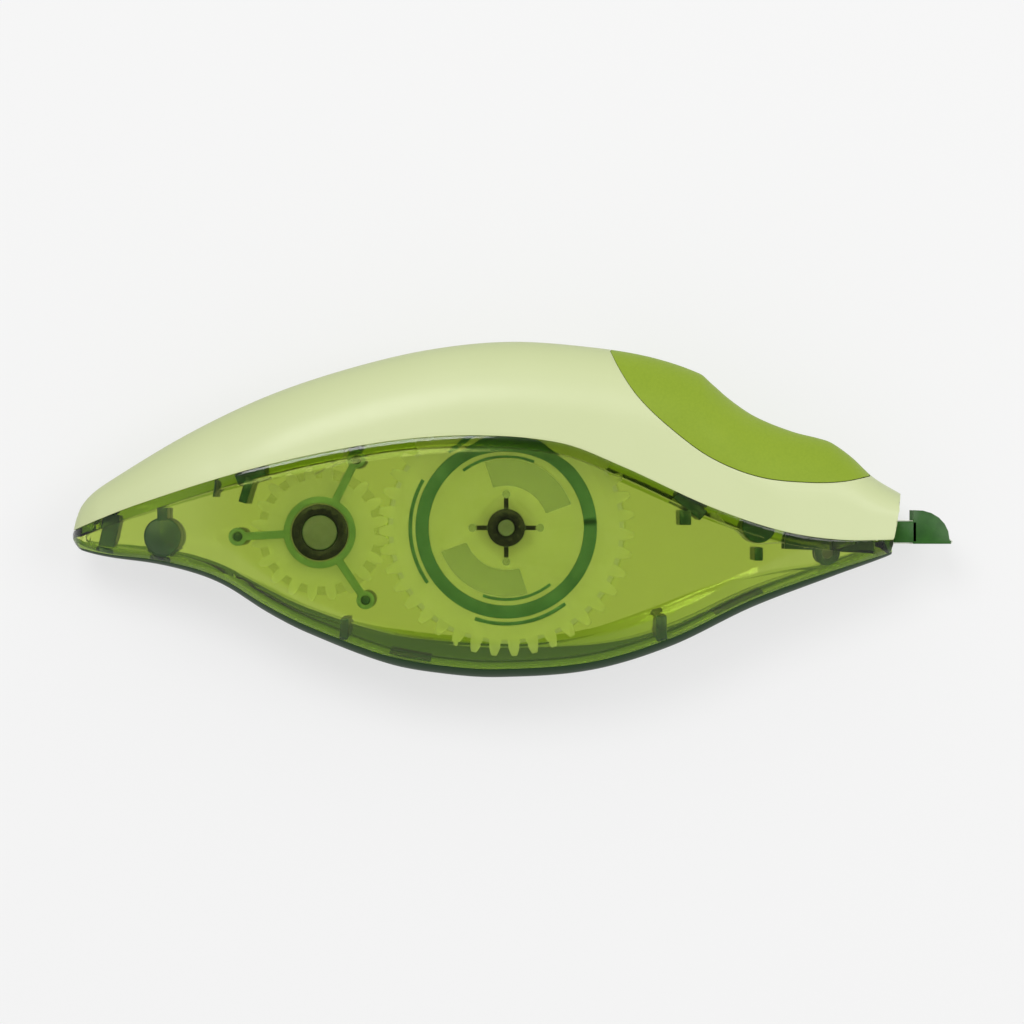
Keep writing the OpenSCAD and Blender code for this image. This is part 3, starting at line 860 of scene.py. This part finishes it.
# the plain plastics; the glow stands for light that comes up through the see-through parts
plastics = {
    "gearPlastic": {"light": (0.92, 0.97, 0.66), "deep": (0.85, 0.92, 0.55), "roughness": 0.30,
                    "alpha": 0.5, "glow": (0.9, 1, 0.5), "glowStrength": 0.09},
    "flangePlastic": {"light": (0.86, 0.93, 0.56), "deep": (0.78, 0.87, 0.48), "roughness": 0.35,
                      "alpha": 0.15},
    "corePlastic": {"light": (0.520, 0.700, 0.400), "deep": (0.440, 0.620, 0.330),
                    "roughness": 0.35, "alpha": 0.3, "glow": (0.9, 1, 0.75), "glowStrength": 0.10},
    "ringPlastic": {"light": (0.130, 0.340, 0.260), "deep": (0.085, 0.250, 0.190),
                    "roughness": 0.35},
    "bridgePlastic": {"light": (0.300, 0.520, 0.300), "deep": (0.220, 0.430, 0.240),
                      "roughness": 0.35},
    "darkPlastic": {"light": (0.028, 0.125, 0.012), "deep": (0.012, 0.064, 0.007),
                    "roughness": 0.30, "specular": 0.3},
    "postPlastic": {"light": (0.022, 0.120, 0.052), "deep": (0.014, 0.078, 0.036),
                    "roughness": 0.30},
    "blackPlastic": {"light": (0.006, 0.010, 0.008), "deep": (0.012, 0.018, 0.014),
                     "roughness": 0.35},
    "pinPlastic": {"light": (0.330, 0.380, 0.420), "deep": (0.260, 0.310, 0.340),
                   "roughness": 0.35},
    "washerRubber": {"light": (0.020, 0.020, 0.020), "deep": (0.035, 0.035, 0.035),
                     "roughness": 0.6},
    "pinSteel": {"light": (0.30, 0.34, 0.30), "deep": (0.22, 0.26, 0.22), "roughness": 0.25,
                 "metallic": 1.0},
}
# the glow of the wound films is painted light too, for light that comes up through the see-through parts
films = {
    "tapeWhite": {"axis": supplyAxis, "light": (0.88, 0.90, 0.84), "deep": (0.78, 0.81, 0.72),
                  "alpha": 0.45, "glow": (0.9, 1, 0.6), "glowStrength": 0.15},
    "linerPaper": {"axis": takeUpAxis, "light": (0.80, 0.82, 0.66), "deep": (0.70, 0.72, 0.56),
                   "alpha": 0.45, "glow": (0.9, 1, 0.6), "glowStrength": 0.10},
}
finishes = {name: plainPlastic(name, **values) for name, values in plastics.items()}
finishes.update({name: woundFilm(name, **values) for name, values in films.items()})

putOn(spineCover, coverPlastic())
putOn(pad, gripRubber())
putOn(rightShell, clearGreen("clearGreenRight", clearFinish["density"]))
putOn(leftShell, clearGreen("clearGreenLeft", clearFinish["farDensity"]))
putOn(rail, stripPlastic())
finishOf = {
    leftPosts: "postPlastic", rightPosts: "postPlastic", hubPins: "pinPlastic", gearArcs: "ringPlastic",
    made["drive_gear"][0]: "gearPlastic", made["take_up_gear"][0]: "gearPlastic",
    made["drive_bush"][0]: "blackPlastic", made["take_up_bush"][0]: "blackPlastic",
    made["supply_core"][0]: "corePlastic", made["take_up_core"][0]: "corePlastic",
    made["supply_flange"][0]: "flangePlastic", made["take_up_flange"][0]: "flangePlastic",
    made["take_up_bridge"][0]: "bridgePlastic", made["tip_holder"][0]: "postPlastic",
    made["guide_roller"][0]: "postPlastic", made["applicator_tip"][0]: "darkPlastic",
    made["tape_roll"][0]: "tapeWhite", made["liner_roll"][0]: "linerPaper",
    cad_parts["guide_pin"]: "pinSteel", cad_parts["clutch_washer"]: "washerRubber",
    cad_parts["tip_tape"]: "tapeWhite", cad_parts["feed_tape"]: "tapeWhite",
    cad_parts["return_liner"]: "linerPaper",
}
for piece, name in finishOf.items():
    putOn(piece, finishes[name])
print("finishes on")


# floor, light and camera
studio = {"floorSize": 1.6, "floor": (0.26, 0.26, 0.26), "floorGrain": (0.23, 0.23, 0.23),
          "floorGap": 0.00005, "glow": 0.63, "opening": 0.15, "world": 0.66,
          "lamps": {"keyLight": ((-0.12, 0.24, 0.6), 0.25, 1.3), "fillLight": ((0.3, 0.1, 0.5), 0.3, 0.8)}}


def makeFloor():
    pickNone()
    bpy.ops.mesh.primitive_plane_add(size=studio["floorSize"],
                                     location=(0, 0, cadLow.z - studio["floorGap"]))
    piece = nameIt("floor")
    settle(piece)
    f = Finish("floorPaper")
    grain = f.noise(f.place(), 0.002, 3)
    colour = f.mix(grain * 0.04, studio["floor"], studio["floorGrain"])
    putOn(piece, f.set(colour=colour, roughness=0.9, glow=(1, 1, 1), glowStrength=studio["glow"]))


def addLight(name, place, size, power):
    data = bpy.data.lights.new(name, "AREA")
    data.shape = "DISK"
    data.size = size
    data.energy = power
    lamp = bpy.data.objects.new(name, data)
    bpy.context.scene.collection.objects.link(lamp)
    lamp.location = place
    lamp.rotation_euler = (Vector(place) - Vector((0, 0, midZ))).to_track_quat("Z", "Y").to_euler()


def makeStudio():
    makeFloor()
    # soft light all round, with a dark opening straight overhead
    world = bpy.data.worlds.new("studio")
    sky = Finish("studio", world)
    up = sky.node("SeparateXYZ", inputs={"Vector": sky.node("TexCoord", output=0)}, output=2)
    sky.feed(sky.shader.inputs["Color"], sky.ramp(up, (0.0, 1), (0.93, 1), (0.975, studio["opening"])))
    sky.feed(sky.shader.inputs["Strength"], studio["world"])
    bpy.context.scene.world = world
    for name, lamp in studio["lamps"].items():
        addLight(name, *lamp)


cameraSet = {"lens": 200, "sensor": 36, "viewWidth": 0.1249, "centre": (0, -0.00033)}


def makeCamera():
    data = bpy.data.cameras.new("camera")
    data.lens = cameraSet["lens"]
    data.sensor_width = cameraSet["sensor"]
    data.clip_start = 0.01
    camera = bpy.data.objects.new("camera", data)
    bpy.context.scene.collection.objects.link(camera)
    reach = cameraSet["viewWidth"] * cameraSet["lens"] / cameraSet["sensor"]
    camera.location = (*cameraSet["centre"], midZ + reach)
    bpy.context.scene.camera = camera


makeStudio()
makeCamera()
bpy.context.scene.view_settings.view_transform = "Standard"
print("studio ready")
